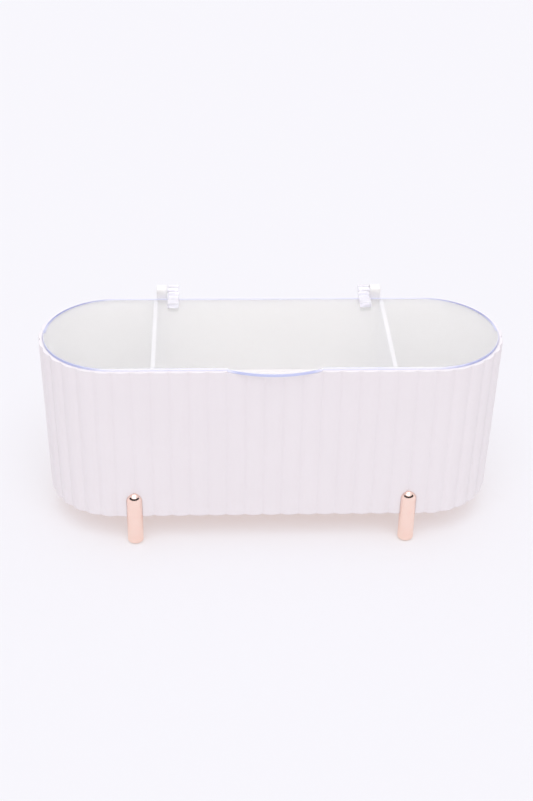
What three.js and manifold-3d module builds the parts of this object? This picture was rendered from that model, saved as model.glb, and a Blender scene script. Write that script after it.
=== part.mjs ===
// A vanity box: a fluted tub with round ends, held off the table by four plated legs. Two upright
// partitions make three compartments, and a clear lid on two hinges covers them.
// Millimetres, +Z up, the table at z = 0, the front towards -Y. x = y = 0 is the middle of the tub.

import * as THREE from 'three';
import { mergeVertices } from 'three/addons/utils/BufferGeometryUtils.js';
import Module from 'manifold-3d';

const wasm = await Module();
wasm.setup();

// ---------------------------------------------------------------------------------------------
// Driving dimensions
// ---------------------------------------------------------------------------------------------

// Every outline is a stadium: two straight sides of this half length, closed by half circles.
const HALF_STRAIGHT = 67.6;

const TUB = {
  bottomZ: 13.35,
  rimZ: 87.8,
  valleyRadius: 31.65, // of the round ends at the rim, measured to the bottom of the flutes
  draftPerMm: 0.0195, // how far the outside leans in for each mm below the rim
  innerDraftPerMm: 0.028, // the same for the inside, so the wall thickens towards the floor
  bottomEdgeRadius: 0.6,
  fluteDepth: 0.8,
  flutesPerSide: 17,
  flutesPerEnd: 13,
  facetsPerFlute: 6,
  innerRadius: 30.0, // at the rim
  floorThickness: 2.2,
  floorFillet: 2.0,
};

const LID = {
  radius: 30.45,
  topZ: 88.6,
  thickness: 1.3,
  edgeBevel: 0.2,
  clearance: 0.3, // round the lid, inside its rebate
  ledgeGap: 0.2, // between the lid and the ledge under it
  tabHalfWidth: 19.55,
  tabShoulderY: 31.2, // where the tab's short straight ends stop
  tabFrontY: 35.5, // the middle of the tab
};

const HINGE = {
  pivotY: 34.0,
  pivotZ: 90.7,
  earRadius: 2.6,
  earInnerX: 45.5,
  earOuterX: 49.7,
  earFrontY: 31.4,
  earFootZ: 77.6, // where the ear's bracket runs out into the back wall
  earHoleRadius: 1.1,
  armRadius: 2.3,
  armInnerX: 40.3,
  armOuterX: 45.2,
  armFootY: 21.5,
  armFootThickness: 2.0,
  armBoreRadius: 1.2,
  pinRadius: 0.9,
  pinHeadRadius: 1.6,
  pinHeadThickness: 0.5,
  pinTailInset: 1.6, // how far the pin stops short of the arm's far face
};

const PARTITION = {
  x: 50.5,
  thickness: 1.8,
  slotDepth: 0.6, // of the upright grooves in the front and back walls
  slotGap: 0.2, // round the partition, inside its groove
  topZ: 86.9,
};

const LEG = {
  x: 60.0,
  axisY: 30.2,
  radius: 3.5,
  topZ: 25.6,
  bottomZ: 0.5,
  footChamfer: 0.5,
  seatY: 29.6, // the flat where the leg's back meets the wall
  seatGap: 0.2, // round the leg, inside its seat
};

const PAD = { radius: 2.5, height: 1.2, recessRadius: 2.7 };

const SCREW = {
  z: 20.2,
  headSeatY: 28.2, // the spot face inside the wall
  spotFaceRadius: 2.8,
  headRadius: 2.3,
  headThickness: 1.3,
  headCrown: 0.5,
  shankRadius: 1.2,
  holeRadius: 1.4,
  tipY: 32.2,
  holeEndY: 32.5,
  recessWidth: 0.6,
  recessLength: 2.4,
  recessDepth: 0.7,
};

const ROUND_SEGMENTS = 24; // of small turned pieces and holes
const END_SEGMENTS = 12; // curve divisions; three.js doubles them on each half circle
const DOME_STEPS = 6;
const EDGE_STEPS = 3;
const CUT_MARGIN = 1.0; // how far a cutter runs past the faces that it opens

const MATERIALS = {
  abs: { color: 0xf1eff0, roughness: 0.42, metalness: 0.0 },
  acrylic: { color: 0xf2f4ff, roughness: 0.06, metalness: 0.0, transparent: true, opacity: 0.3 },
  partition: { color: 0xf6f5f6, roughness: 0.4, metalness: 0.0 },
  roseGold: { color: 0xf0bda9, roughness: 0.16, metalness: 1.0 },
  steel: { color: 0xc9c9cc, roughness: 0.3, metalness: 1.0 },
  silicone: { color: 0xe4e3e1, roughness: 0.75, metalness: 0.0 },
};

// ---------------------------------------------------------------------------------------------
// Booleans
// ---------------------------------------------------------------------------------------------

/** Turns a closed geometry into a manifold solid: shared corners, and no collapsed triangles. */
function toSolid(geometry) {
  const bare = geometry.clone();
  bare.deleteAttribute('normal');
  bare.deleteAttribute('uv');
  const merged = mergeVertices(bare, 1e-4);
  const corners = merged.index.array;
  const kept = [];
  for (let i = 0; i < corners.length; i += 3) {
    const [a, b, c] = corners.subarray(i, i + 3);
    if (a !== b && b !== c && c !== a) {
      kept.push(a, b, c);
    }
  }
  return new wasm.Manifold(new wasm.Mesh({
    numProp: 3,
    vertProperties: new Float32Array(merged.attributes.position.array),
    triVerts: new Uint32Array(kept),
  }));
}

/** Turns a manifold solid back into a geometry. */
function toGeometry(solid) {
  const mesh = solid.getMesh();
  const geometry = new THREE.BufferGeometry();
  geometry.setAttribute('position', new THREE.BufferAttribute(mesh.vertProperties, 3));
  geometry.setIndex(new THREE.BufferAttribute(mesh.triVerts, 1));
  geometry.computeVertexNormals();
  return geometry;
}

/** Cuts every tool away from the base geometry. */
function cut(base, tools) {
  let solid = toSolid(base);
  for (const tool of tools) {
    solid = solid.subtract(toSolid(tool));
  }
  return toGeometry(solid);
}

// ---------------------------------------------------------------------------------------------
// Shapes that several pieces share
// ---------------------------------------------------------------------------------------------

/** A smooth stadium outline whose round ends have the given radius. */
function stadiumShape(radius) {
  const quarter = Math.PI / 2;
  const shape = new THREE.Shape();
  shape.moveTo(-HALF_STRAIGHT, -radius);
  shape.lineTo(HALF_STRAIGHT, -radius);
  shape.absarc(HALF_STRAIGHT, 0, radius, -quarter, quarter, false);
  shape.lineTo(-HALF_STRAIGHT, radius);
  shape.absarc(-HALF_STRAIGHT, 0, radius, quarter, 3 * quarter, false);
  return shape;
}

/**
 * Stretches a stadium-like outline up through levels { z, inset }: at each level the outline is
 * moved in towards the stadium's middle line by the inset.
 */
function loft(shape, levels) {
  const geometry = new THREE.ExtrudeGeometry(shape, {
    depth: levels.length - 1,
    steps: levels.length - 1,
    bevelEnabled: false,
    curveSegments: END_SEGMENTS,
  });
  const position = geometry.attributes.position;
  for (let i = 0; i < position.count; i += 1) {
    const { z, inset } = levels[Math.round(position.getZ(i))];
    const x = position.getX(i);
    const y = position.getY(i);
    const middleX = THREE.MathUtils.clamp(x, -HALF_STRAIGHT, HALF_STRAIGHT);
    const keep = 1 - inset / Math.hypot(x - middleX, y);
    position.setXYZ(i, middleX + (x - middleX) * keep, y * keep, z);
  }
  return geometry;
}

/** How far a wall with a draft has leaned in at a height. */
function leanAt(z, draft) {
  return (TUB.rimZ - z) * draft;
}

/** Levels of a drafted wall that rises from a rounded bottom edge. */
function roundedLevels(bottomZ, topZ, edgeRadius, draft) {
  const levels = [];
  for (let step = 0; step <= EDGE_STEPS; step += 1) {
    const angle = (step / EDGE_STEPS) * (Math.PI / 2);
    const z = bottomZ + edgeRadius * (1 - Math.cos(angle));
    levels.push({ z, inset: leanAt(z, draft) + edgeRadius * (1 - Math.sin(angle)) });
  }
  levels.push({ z: topZ, inset: leanAt(topZ, draft) });
  return levels;
}

/** A box given by its lowest and highest corners. */
function boxBetween([x0, y0, z0], [x1, y1, z1]) {
  const geometry = new THREE.BoxGeometry(x1 - x0, y1 - y0, z1 - z0);
  geometry.translate((x0 + x1) / 2, (y0 + y1) / 2, (z0 + z1) / 2);
  return geometry;
}

/** A solid of revolution about Z from [radius, height] points that start and end on the axis. */
function turned(profile) {
  const points = profile.map(([radius, height]) => new THREE.Vector2(radius, height));
  const geometry = new THREE.LatheGeometry(points, ROUND_SEGMENTS);
  geometry.rotateX(Math.PI / 2);
  return geometry;
}

/** A plain rod along Z. */
function rod(radius, z0, z1) {
  return turned([[0, z0], [radius, z0], [radius, z1], [0, z1]]);
}

/** Extrudes a profile drawn in (y, z) along X, between two x values. */
function extrudeAlongX(shape, x0, x1) {
  const geometry = new THREE.ExtrudeGeometry(shape, {
    depth: x1 - x0,
    bevelEnabled: false,
    curveSegments: END_SEGMENTS,
  });
  const across = new THREE.Vector3(1, 0, 0);
  const deep = new THREE.Vector3(0, 1, 0);
  const up = new THREE.Vector3(0, 0, 1);
  geometry.applyMatrix4(new THREE.Matrix4().makeBasis(deep, up, across));
  geometry.translate(x0, 0, 0);
  return geometry;
}

/** A named mesh with a material of its own. */
function piece(name, geometry, finish) {
  const mesh = new THREE.Mesh(geometry, new THREE.MeshStandardMaterial(finish));
  mesh.name = name;
  return mesh;
}

// ---------------------------------------------------------------------------------------------
// Tub
// ---------------------------------------------------------------------------------------------

/** The tub's outline: convex flutes side by side, with sharp valleys between them. */
function flutedShape() {
  const { valleyRadius, fluteDepth, facetsPerFlute, flutesPerSide, flutesPerEnd } = TUB;
  const points = [];

  // Walks one stretch of wall; place(t, radius) gives the point at fraction t along it.
  const addFlutes = (count, place) => {
    for (let i = 0; i < count * facetsPerFlute; i += 1) {
      const acrossFlute = (i % facetsPerFlute) / facetsPerFlute;
      const swell = fluteDepth * (1 - (2 * acrossFlute - 1) ** 2);
      points.push(place(i / (count * facetsPerFlute), valleyRadius + swell));
    }
  };
  const alongSide = (side) => (t, radius) => (
    new THREE.Vector2(side * HALF_STRAIGHT * (1 - 2 * t), side * radius)
  );
  const roundEnd = (side) => (t, radius) => {
    const angle = side * (Math.PI / 2) + Math.PI * t;
    return new THREE.Vector2(-side * HALF_STRAIGHT + radius * Math.cos(angle), radius * Math.sin(angle));
  };

  addFlutes(flutesPerSide, alongSide(-1));
  addFlutes(flutesPerEnd, roundEnd(-1));
  addFlutes(flutesPerSide, alongSide(1));
  addFlutes(flutesPerEnd, roundEnd(1));
  return new THREE.Shape(points);
}

/** A white ear at the back that carries one end of a hinge pin. */
function earGeometry(x0, x1) {
  const { pivotY, pivotZ, earRadius, earFrontY, earFootZ, earHoleRadius } = HINGE;
  const shape = new THREE.Shape();
  shape.moveTo(earFrontY, earFootZ);
  shape.lineTo(pivotY + earRadius, pivotZ - earRadius);
  shape.lineTo(pivotY + earRadius, pivotZ);
  shape.absarc(pivotY, pivotZ, earRadius, 0, Math.PI, false);
  const hole = new THREE.Path();
  hole.absarc(pivotY, pivotZ, earHoleRadius, 0, 2 * Math.PI, true);
  shape.holes.push(hole);
  return extrudeAlongX(shape, x0, x1);
}

/** The leg's outer form about its own axis: a round post with a domed top. */
function postGeometry(bottomZ, growth) {
  const radius = LEG.radius + growth;
  const domeZ = LEG.topZ - LEG.radius;
  const chamfer = growth > 0 ? 0 : LEG.footChamfer;
  const profile = [[0, bottomZ], [radius - chamfer, bottomZ], [radius, bottomZ + chamfer]];
  for (let step = 0; step <= DOME_STEPS; step += 1) {
    const angle = (step / DOME_STEPS) * (Math.PI / 2);
    profile.push([step === DOME_STEPS ? 0 : radius * Math.cos(angle), domeZ + radius * Math.sin(angle)]);
  }
  return turned(profile.filter((point, i) => i === 0 || String(point) !== String(profile[i - 1])));
}

/** The hollow in the tub's wall that one leg sits in, at x on the front (-1) or back (1) wall. */
function legSeat(x, side) {
  const post = postGeometry(TUB.bottomZ - CUT_MARGIN, LEG.seatGap);
  post.translate(x, side * LEG.axisY, 0);
  const reach = LEG.axisY + LEG.radius + CUT_MARGIN;
  const ys = [side * LEG.seatY, side * reach].sort((a, b) => a - b);
  const halfWidth = LEG.radius + CUT_MARGIN;
  const outside = boxBetween([x - halfWidth, ys[0], 0], [x + halfWidth, ys[1], LEG.topZ + CUT_MARGIN]);
  return toGeometry(toSolid(post).intersect(toSolid(outside)));
}

/** The screw hole behind a leg, with the spot face that its head sits on. */
function screwHoles(x, side) {
  const spot = rod(SCREW.spotFaceRadius, LEG.axisY - SCREW.headSeatY, SCREW.headSeatY);
  const hole = rod(SCREW.holeRadius, 0, LEG.axisY + LEG.radius);
  const alongSide = new THREE.Vector3(0, side, 0);
  const turn = new THREE.Quaternion().setFromUnitVectors(new THREE.Vector3(0, 0, 1), alongSide);
  return [spot, hole].map((tool) => tool.applyQuaternion(turn).translate(x, 0, SCREW.z));
}

function tubGeometry() {
  const floorZ = TUB.bottomZ + TUB.floorThickness;
  const ledgeZ = LID.topZ - LID.thickness - LID.ledgeGap;
  const aboveRim = TUB.rimZ + CUT_MARGIN;

  const outerLevels = roundedLevels(TUB.bottomZ, TUB.rimZ, TUB.bottomEdgeRadius, TUB.draftPerMm);
  const innerLevels = roundedLevels(floorZ, aboveRim, TUB.floorFillet, TUB.innerDraftPerMm);
  const outside = loft(flutedShape(), outerLevels);
  let solid = toSolid(outside);
  for (const side of [-1, 1]) {
    const xs = [side * HINGE.earInnerX, side * HINGE.earOuterX].sort((a, b) => a - b);
    solid = solid.add(toSolid(earGeometry(...xs)));
  }

  const cutters = [
    loft(stadiumShape(TUB.innerRadius), innerLevels),
    loft(stadiumShape(LID.radius + LID.clearance), [{ z: ledgeZ, inset: 0 }, { z: aboveRim, inset: 0 }]),
    boxBetween(
      [-LID.tabHalfWidth - LID.clearance, -LID.tabFrontY, ledgeZ],
      [LID.tabHalfWidth + LID.clearance, -TUB.innerRadius, aboveRim],
    ),
  ];
  for (const x of [-PARTITION.x, PARTITION.x]) {
    cutters.push(partitionSlab(x, PARTITION.thickness + 2 * PARTITION.slotGap, 0, ledgeZ + CUT_MARGIN));
  }
  for (const side of [-1, 1]) {
    for (const x of [-LEG.x, LEG.x]) {
      cutters.push(legSeat(x, side), ...screwHoles(x, side));
    }
  }
  for (const cutter of cutters) {
    solid = solid.subtract(toSolid(cutter));
  }
  return toGeometry(solid);
}

// ---------------------------------------------------------------------------------------------
// Partitions
// ---------------------------------------------------------------------------------------------

/** An upright slab across the tub that follows the lean of its walls, with a gap to the groove. */
function partitionSlab(x, thickness, gap, topZ) {
  const floorZ = TUB.bottomZ + TUB.floorThickness;
  const innerDepthAt = (z) => TUB.innerRadius - leanAt(z, TUB.innerDraftPerMm);
  const halfDepthAt = (z) => innerDepthAt(z) + PARTITION.slotDepth - gap;
  const shape = new THREE.Shape([
    new THREE.Vector2(-halfDepthAt(floorZ), floorZ),
    new THREE.Vector2(halfDepthAt(floorZ), floorZ),
    new THREE.Vector2(halfDepthAt(topZ), topZ),
    new THREE.Vector2(-halfDepthAt(topZ), topZ),
  ]);
  return extrudeAlongX(shape, x - thickness / 2, x + thickness / 2);
}

// ---------------------------------------------------------------------------------------------
// Lid and hinges
// ---------------------------------------------------------------------------------------------

/** The lid's outline: a stadium with a shallow curved finger tab at the middle of its front. */
function lidShape() {
  const { radius, tabHalfWidth, tabShoulderY, tabFrontY } = LID;
  const rise = tabFrontY - tabShoulderY;
  const tabRadius = (tabHalfWidth ** 2 + rise ** 2) / (2 * rise);
  const halfAngle = Math.asin(tabHalfWidth / tabRadius);
  const quarter = Math.PI / 2;
  const shape = new THREE.Shape();
  shape.moveTo(-HALF_STRAIGHT, -radius);
  shape.lineTo(-tabHalfWidth, -radius);
  shape.lineTo(-tabHalfWidth, -tabShoulderY);
  shape.absarc(0, tabRadius - tabFrontY, tabRadius, -quarter - halfAngle, -quarter + halfAngle, false);
  shape.lineTo(tabHalfWidth, -radius);
  shape.lineTo(HALF_STRAIGHT, -radius);
  shape.absarc(HALF_STRAIGHT, 0, radius, -quarter, quarter, false);
  shape.lineTo(-HALF_STRAIGHT, radius);
  shape.absarc(-HALF_STRAIGHT, 0, radius, quarter, 3 * quarter, false);
  return shape;
}

function lidGeometry() {
  const geometry = new THREE.ExtrudeGeometry(lidShape(), {
    depth: LID.thickness - 2 * LID.edgeBevel,
    bevelThickness: LID.edgeBevel,
    bevelSize: LID.edgeBevel,
    bevelOffset: -LID.edgeBevel,
    bevelSegments: 1,
    curveSegments: END_SEGMENTS,
  });
  geometry.translate(0, 0, LID.topZ - LID.thickness + LID.edgeBevel);
  return geometry;
}

/** A clear arm: a flat foot bonded to the lid, and an eye that turns on the hinge pin. */
function armGeometry(x0, x1) {
  const { pivotY, pivotZ, armRadius, armFootY, armFootThickness, armBoreRadius } = HINGE;
  const footTopZ = LID.topZ + armFootThickness;
  const underAngle = Math.PI + Math.asin((pivotZ - LID.topZ) / armRadius);
  const overAngle = (2 / 3) * Math.PI;
  const shape = new THREE.Shape();
  shape.moveTo(armFootY, LID.topZ);
  shape.lineTo(pivotY + armRadius * Math.cos(underAngle), LID.topZ);
  shape.absarc(pivotY, pivotZ, armRadius, underAngle, 2 * Math.PI + overAngle, false);
  shape.lineTo(pivotY - 2 * armRadius, footTopZ);
  shape.lineTo(armFootY + LID.edgeBevel, footTopZ);
  shape.lineTo(armFootY, footTopZ - LID.edgeBevel);
  const bore = new THREE.Path();
  bore.absarc(pivotY, pivotZ, armBoreRadius, 0, 2 * Math.PI, true);
  shape.holes.push(bore);
  return extrudeAlongX(shape, x0, x1);
}

/** A headed pin along Z: the head is outside z = 0, and the shank runs down to its tail. */
function pinGeometry() {
  const { pinRadius, pinHeadRadius, pinHeadThickness, pinTailInset, armInnerX, earOuterX } = HINGE;
  const tail = armInnerX + pinTailInset - earOuterX;
  return turned([
    [0, tail],
    [pinRadius, tail],
    [pinRadius, 0],
    [pinHeadRadius, 0],
    [pinHeadRadius, pinHeadThickness],
    [0, pinHeadThickness],
  ]);
}

/** One hinge at x on the left (-1) or right (1): its clear arm and its pin. */
function hinge(name, side) {
  const group = new THREE.Group();
  const xs = [side * HINGE.armInnerX, side * HINGE.armOuterX].sort((a, b) => a - b);
  group.add(piece(`hinge_arm_${name}`, armGeometry(...xs), MATERIALS.acrylic));
  const pin = piece(`hinge_pin_${name}`, pinGeometry(), MATERIALS.steel);
  pin.position.set(side * HINGE.earOuterX, HINGE.pivotY, HINGE.pivotZ);
  pin.rotation.y = side * (Math.PI / 2);
  group.add(pin);
  return group;
}

// ---------------------------------------------------------------------------------------------
// Legs
// ---------------------------------------------------------------------------------------------

/** A plated leg about its own axis, with the wall on its +Y side. */
function legGeometry() {
  const wide = LEG.radius + CUT_MARGIN;
  const seat = LEG.axisY - LEG.seatY;
  const pilot = rod(SCREW.holeRadius, LEG.axisY - SCREW.holeEndY, wide);
  pilot.rotateX(-Math.PI / 2);
  pilot.translate(0, 0, SCREW.z);
  return cut(postGeometry(LEG.bottomZ, 0), [
    boxBetween([-wide, seat, TUB.bottomZ], [wide, wide, LEG.topZ + CUT_MARGIN]),
    rod(PAD.recessRadius, 0, PAD.height),
    pilot,
  ]);
}

/** A pan-head screw about Z: the head's underside is at z = 0, and its tip points down. */
function screwGeometry() {
  const tip = SCREW.headSeatY - SCREW.tipY;
  const blank = turned([
    [0, tip],
    [SCREW.shankRadius / 2, tip],
    [SCREW.shankRadius, tip + SCREW.shankRadius],
    [SCREW.shankRadius, 0],
    [SCREW.headRadius, 0],
    [SCREW.headRadius, SCREW.headThickness - SCREW.headCrown],
    [SCREW.headRadius - SCREW.headCrown, SCREW.headThickness],
    [0, SCREW.headThickness],
  ]);
  const halfLength = SCREW.recessLength / 2;
  const halfWidth = SCREW.recessWidth / 2;
  const floor = SCREW.headThickness - SCREW.recessDepth;
  const top = SCREW.headThickness + CUT_MARGIN;
  return cut(blank, [
    boxBetween([-halfLength, -halfWidth, floor], [halfLength, halfWidth, top]),
    boxBetween([-halfWidth, -halfLength, floor], [halfWidth, halfLength, top]),
  ]);
}

/** One leg with its screw and its silicone pad. The group's turn faces its flat to the wall. */
function leg(name, x, side) {
  const group = new THREE.Group();
  group.add(piece(`leg_${name}`, legGeometry(), MATERIALS.roseGold));
  const screw = piece(`leg_screw_${name}`, screwGeometry(), MATERIALS.steel);
  screw.position.set(0, LEG.axisY - SCREW.headSeatY, SCREW.z);
  screw.rotation.x = -Math.PI / 2;
  group.add(screw);
  group.add(piece(`foot_pad_${name}`, rod(PAD.radius, 0, PAD.height), MATERIALS.silicone));
  group.position.set(x, side * LEG.axisY, 0);
  group.rotation.z = side < 0 ? 0 : Math.PI;
  return group;
}

// ---------------------------------------------------------------------------------------------
// The whole box
// ---------------------------------------------------------------------------------------------

const box = new THREE.Group();
box.add(piece('body_shell', tubGeometry(), MATERIALS.abs));

for (const [name, side] of [['left', -1], ['right', 1]]) {
  const slab = partitionSlab(side * PARTITION.x, PARTITION.thickness, PARTITION.slotGap, PARTITION.topZ);
  box.add(piece(`partition_${name}`, slab, MATERIALS.partition));
  box.add(hinge(name, side));
  box.add(leg(`front_${name}`, side * LEG.x, -1));
  box.add(leg(`back_${name}`, side * LEG.x, 1));
}
box.add(piece('lid_panel', lidGeometry(), MATERIALS.acrylic));

export default box;
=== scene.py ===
# %% [markdown]
# # A fluted vanity box with a clear lid
#
# The box is a white plastic tub with round ends and upright flutes, on four rose gold legs. Two
# partitions divide it, and a clear lid on two hinges covers it. The CAD model already says where every
# piece is and how the lid turns. This script makes what the eye sees: the smooth flutes, the soft edges
# and the materials.
#
# First the script loads the CAD model. It is in metres, and each of its nodes is an object at the origin.

# %% Load the frame
import math

import bmesh
import bpy
from mathutils import Matrix, Vector


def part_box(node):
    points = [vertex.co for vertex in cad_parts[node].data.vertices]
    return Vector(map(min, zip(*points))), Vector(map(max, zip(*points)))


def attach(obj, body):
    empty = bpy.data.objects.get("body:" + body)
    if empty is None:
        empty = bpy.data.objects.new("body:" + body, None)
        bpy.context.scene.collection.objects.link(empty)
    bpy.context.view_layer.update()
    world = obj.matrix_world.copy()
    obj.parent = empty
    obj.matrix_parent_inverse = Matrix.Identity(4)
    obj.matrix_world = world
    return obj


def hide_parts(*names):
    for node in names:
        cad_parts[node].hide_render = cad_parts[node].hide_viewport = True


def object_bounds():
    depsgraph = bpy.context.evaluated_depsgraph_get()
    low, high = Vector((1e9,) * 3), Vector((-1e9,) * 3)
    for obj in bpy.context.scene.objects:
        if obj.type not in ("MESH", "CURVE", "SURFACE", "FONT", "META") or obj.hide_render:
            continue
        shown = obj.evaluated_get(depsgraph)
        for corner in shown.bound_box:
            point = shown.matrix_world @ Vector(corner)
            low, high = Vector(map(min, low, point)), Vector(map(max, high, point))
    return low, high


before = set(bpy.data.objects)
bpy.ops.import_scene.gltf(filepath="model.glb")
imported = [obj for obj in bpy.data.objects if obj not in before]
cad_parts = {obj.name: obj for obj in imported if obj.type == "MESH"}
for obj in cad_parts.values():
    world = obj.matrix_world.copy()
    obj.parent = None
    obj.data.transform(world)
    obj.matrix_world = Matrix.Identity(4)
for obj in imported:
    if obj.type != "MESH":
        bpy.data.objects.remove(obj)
cad_low, cad_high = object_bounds()
print("CAD box in mm:", [round(v * 1000, 1) for v in cad_high - cad_low])

# %% [markdown]
# ## The camera
#
# The camera looks down at the front of the box from a little left of its middle, as a person does who
# sits at a dressing table. A long lens from 65 cm away keeps the perspective gentle. It is placed by a
# direction and a distance from a point near the middle of the box, so that it follows the box if its
# size changes.

# %% Camera
LOOK_DOWN = math.radians(32.27)
LOOK_RIGHT = math.radians(2.875)
TILT = math.radians(1.128)
CAMERA_DISTANCE = 0.650
LENS_MM = 65.88
SENSOR_MM = 36.0
AIM_FROM_CENTRE = Vector((-0.00168, -0.00055, 0.00695))
UPRIGHT = math.radians(90)

turn = (
    Matrix.Rotation(-LOOK_RIGHT, 4, "Z")
    @ Matrix.Rotation(UPRIGHT - LOOK_DOWN, 4, "X")
    @ Matrix.Rotation(TILT, 4, "Z")
)
aim = (cad_low + cad_high) / 2 + AIM_FROM_CENTRE
backwards = turn.to_3x3() @ Vector((0, 0, 1))
camera_data = bpy.data.cameras.new("camera")
camera_data.lens = LENS_MM
camera_data.sensor_width = SENSOR_MM
camera = bpy.data.objects.new("camera", camera_data)
camera.matrix_world = Matrix.Translation(aim + backwards * CAMERA_DISTANCE) @ turn
bpy.context.scene.collection.objects.link(camera)
bpy.context.scene.camera = camera
print("camera at", [round(v, 3) for v in camera.matrix_world.translation])

# %% [markdown]
# ## Colour, and a way to build materials
#
# Colours are written as the hex values that a paint chart shows. Blender works in linear light, so one
# function turns them over. A second small function adds a shader node with its settings and links, and
# every material is built with it. All patterns are scaled in millimetres, from the piece's own place in
# the frame.
#
# The view transform is the plain one: a white box on a white ground has to stay white, and a filmic
# curve would turn both grey.

# %% Colour and nodes
bpy.context.scene.view_settings.view_transform = "Standard"
MIX_A, MIX_B, MIX_OUT = 6, 7, 2  # the colour sockets of a Mix node


def linear(hex_colour):
    """An sRGB hex colour such as "#F4F1F2" as linear light, with alpha 1."""
    channels = [int(hex_colour[i : i + 2], 16) / 255 for i in (1, 3, 5)]
    return [c / 12.92 if c <= 0.04045 else ((c + 0.055) / 1.055) ** 2.4 for c in channels] + [1.0]


def add(tree, kind, values=None, links=None, **settings):
    """Adds a node, sets its settings and input values, and links sockets to its inputs."""
    made = tree.nodes.new(kind)
    for name, value in settings.items():
        setattr(made, name, value)
    for name, value in (values or {}).items():
        made.inputs[name].default_value = value
    for name, socket in (links or {}).items():
        tree.links.new(socket, made.inputs[name])
    return made


def start_material(name):
    """An empty material, its node tree, and a socket with each point's place in millimetres."""
    material = bpy.data.materials.new(name)
    material.use_nodes = True
    tree = material.node_tree
    tree.nodes.clear()
    place = add(tree, "ShaderNodeTexCoord").outputs["Object"]
    in_mm = add(tree, "ShaderNodeMapping", {"Scale": (1000, 1000, 1000)}, {"Vector": place})
    return material, tree, in_mm.outputs["Vector"]


def end_material(tree, shader):
    add(tree, "ShaderNodeOutputMaterial", links={"Surface": shader.outputs[0]})


# %% [markdown]
# ## White plastic, moulded with a satin grain
#
# The tub is one injection moulding in ABS, coloured a warm white. Outside, its steel mould is lightly
# spark-eroded, so the plastic comes out satin: a fine grain spreads each reflection. The real grain is
# about 0.1 mm, too fine to show from here, so it is drawn at 0.45 mm and very shallow. Thick and thin
# places cool at different speeds, which leaves a slow waviness of some 14 mm, and handling leaves the
# gloss a little uneven.
#
# The core that forms the inside is polished, as are the moulds of the two hinge ears, so those faces are
# smoother. They also get a lighter copy of the same white. That is painted light: it stands in for the
# light that falls into the tub and on the ears. The partitions are a slightly bluer polystyrene, with the
# same polish.

# %% Moulded plastic
MOTTLE_MM = 18
HANDLING_MM = 9
WAVE_MM = 14
GRAIN_MM = 0.45
WAVE_DEPTH = 0.000015
GRAIN_DEPTH = 0.000006
GLOSS_SPREAD = 0.02
ABS_IOR = 1.53


def moulded_plastic(name, colour, shade, roughness):
    """Opaque white plastic. colour and shade are the two ends of its slow mottling."""
    material, tree, point = start_material(name)
    cloud = add(tree, "ShaderNodeTexNoise", {"Scale": 1 / MOTTLE_MM, "Detail": 3.0}, {"Vector": point})
    tint = add(
        tree,
        "ShaderNodeMix",
        {MIX_A: linear(colour), MIX_B: linear(shade)},
        {"Factor": cloud.outputs[0]},
        data_type="RGBA",
    )
    handling = add(
        tree, "ShaderNodeTexNoise", {"Scale": 1 / HANDLING_MM, "Detail": 1.0}, {"Vector": point}
    )
    gloss = add(
        tree,
        "ShaderNodeMapRange",
        {
            "From Min": 0.2,
            "From Max": 0.8,
            "To Min": roughness - GLOSS_SPREAD,
            "To Max": roughness + GLOSS_SPREAD,
        },
        {"Value": handling.outputs[0]},
    )
    slow = add(tree, "ShaderNodeTexNoise", {"Scale": 1 / WAVE_MM, "Detail": 1.0}, {"Vector": point})
    wave = add(
        tree, "ShaderNodeBump", {"Strength": 1.0, "Distance": WAVE_DEPTH}, {"Height": slow.outputs[0]}
    )
    spark = add(tree, "ShaderNodeTexNoise", {"Scale": 1 / GRAIN_MM, "Detail": 2.0}, {"Vector": point})
    grain = add(
        tree,
        "ShaderNodeBump",
        {"Strength": 1.0, "Distance": GRAIN_DEPTH},
        {"Height": spark.outputs[0], "Normal": wave.outputs[0]},
    )
    surface = add(
        tree,
        "ShaderNodeBsdfPrincipled",
        {"IOR": ABS_IOR},
        {"Base Color": tint.outputs[MIX_OUT], "Roughness": gloss.outputs[0], "Normal": grain.outputs[0]},
    )
    end_material(tree, surface)
    return material


white_abs = moulded_plastic("satin_white_abs", "#EFEAED", "#ECE7EA", 0.42)
# The polished copy is painted lighter than the satin white: painted light for the inside of the tub and the
# ears.
polished_abs_painted_lighter = moulded_plastic("polished_white_abs_painted_lighter", "#F3F2F1", "#F0EFEE", 0.30)
white_partition = moulded_plastic("gloss_white_polystyrene", "#E3E4EC", "#E0E1EA", 0.30)
print("plastics:", white_abs.name, polished_abs_painted_lighter.name, white_partition.name)

# %% [markdown]
# ## Clear acrylic sheet
#
# The lid is cut from 1.3 mm acrylic sheet with a satin finish. Its texture is far too fine to see, but it
# spreads the light that comes through, so what lies below looks soft and even, and it throws some light
# back as a pale haze. Hairline rubs from dusting lie on top of that. Lamps have to shine through the lid
# onto what it covers, so rays that carry shadow pass straight through, less what the haze holds back.
#
# A cut edge looks different. Light that enters the sheet is trapped between its faces and leaves at the
# edge, after a path long enough to tint it, so the edge is a fine blue line. That blue is painted light.
# The edge's colour is painted deeper where the path is longer, at the round corners and the tab, and a
# faint emission paints the glow of the piped light. Along the back, a narrow strip of the upper face is
# painted in the same blue. This painted line stands in for the look of the edge, which faces away there.
# The hinge arms are small clear mouldings, a little hazy from their rougher mould.

# %% Clear acrylic
ACRYLIC_IOR = 1.49
RUB_LENGTH_MM = 25
RUB_WIDTH_MM = 0.625  # real rubs are about a tenth as wide, too fine to show
RUB_ANGLE = math.radians(24)


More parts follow.
